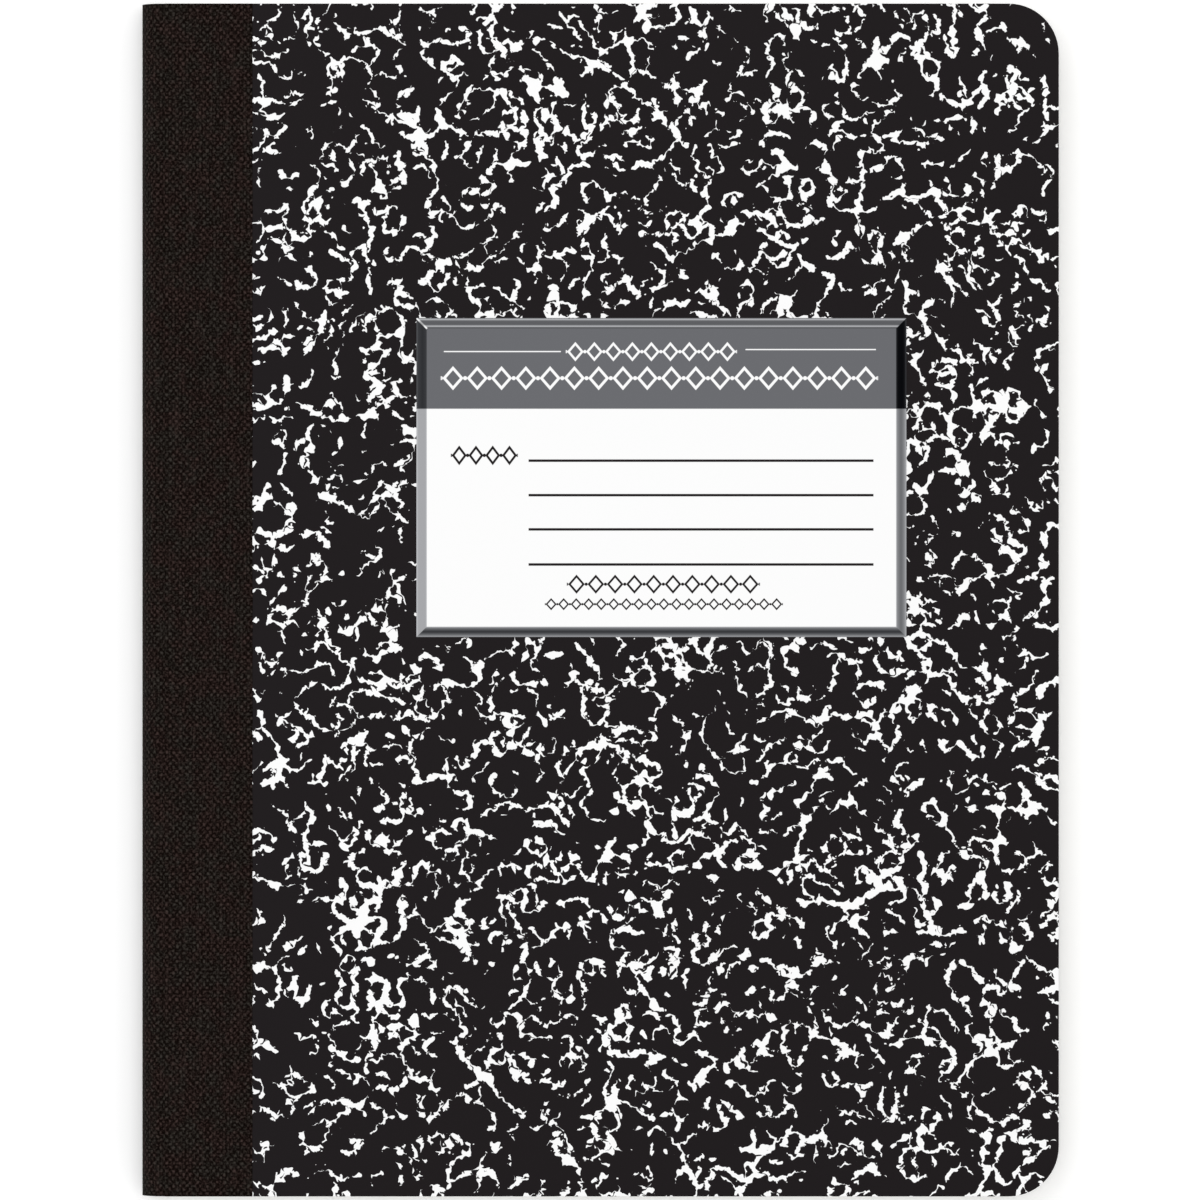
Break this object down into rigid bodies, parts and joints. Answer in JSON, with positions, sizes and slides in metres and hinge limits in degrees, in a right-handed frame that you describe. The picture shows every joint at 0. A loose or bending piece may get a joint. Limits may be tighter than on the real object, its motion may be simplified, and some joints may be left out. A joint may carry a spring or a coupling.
{
  "type": "composition notebook",
  "caption": "Sewn notebook with two marbled board covers that open, a round cloth spine, rounded fore-edge corners and a raised title label.",
  "frame": {"origin": "under the middle of the closed notebook, on the surface that it lies on", "axes": "+Z out of the front cover, +Y towards the head (the top of the pages), +X from the spine towards the fore edge"},
  "size_m": [0.1906, 0.2476, 0.0117],
  "materials": {
    "writing_paper": "uncoated, ruled",
    "sewing_thread": "twisted cotton",
    "spine_cloth": "coarse woven book cloth, lightly filled",
    "cover_board": "smooth printed black and white marbling",
    "endpaper": "uncoated",
    "label_card": "smooth, printed greys on white"
  },
  "bodies": {
    "page_block": {"page_block": "writing_paper", "spine_thread": "sewing_thread", "fold_thread": "sewing_thread", "spine_cloth_back": "spine_cloth"},
    "front_cover": {"front_board": "cover_board", "front_endpaper": "endpaper", "front_cloth_flap": "spine_cloth", "title_label": "label_card"},
    "back_cover": {"back_board": "cover_board", "back_endpaper": "endpaper", "back_cloth_flap": "spine_cloth"}
  },
  "joints": [
    {"name": "front_cover_hinge", "type": "hinge", "parent": "page_block", "child": "front_cover", "pos_m": [-0.09195, 0, 0.0109], "axis": [0, -1, 0], "range_deg": [0, 180]},
    {"name": "back_cover_hinge", "type": "hinge", "parent": "page_block", "child": "back_cover", "pos_m": [-0.09195, 0, 0.0006], "axis": [0, 1, 0], "range_deg": [0, 180]}
  ]
}
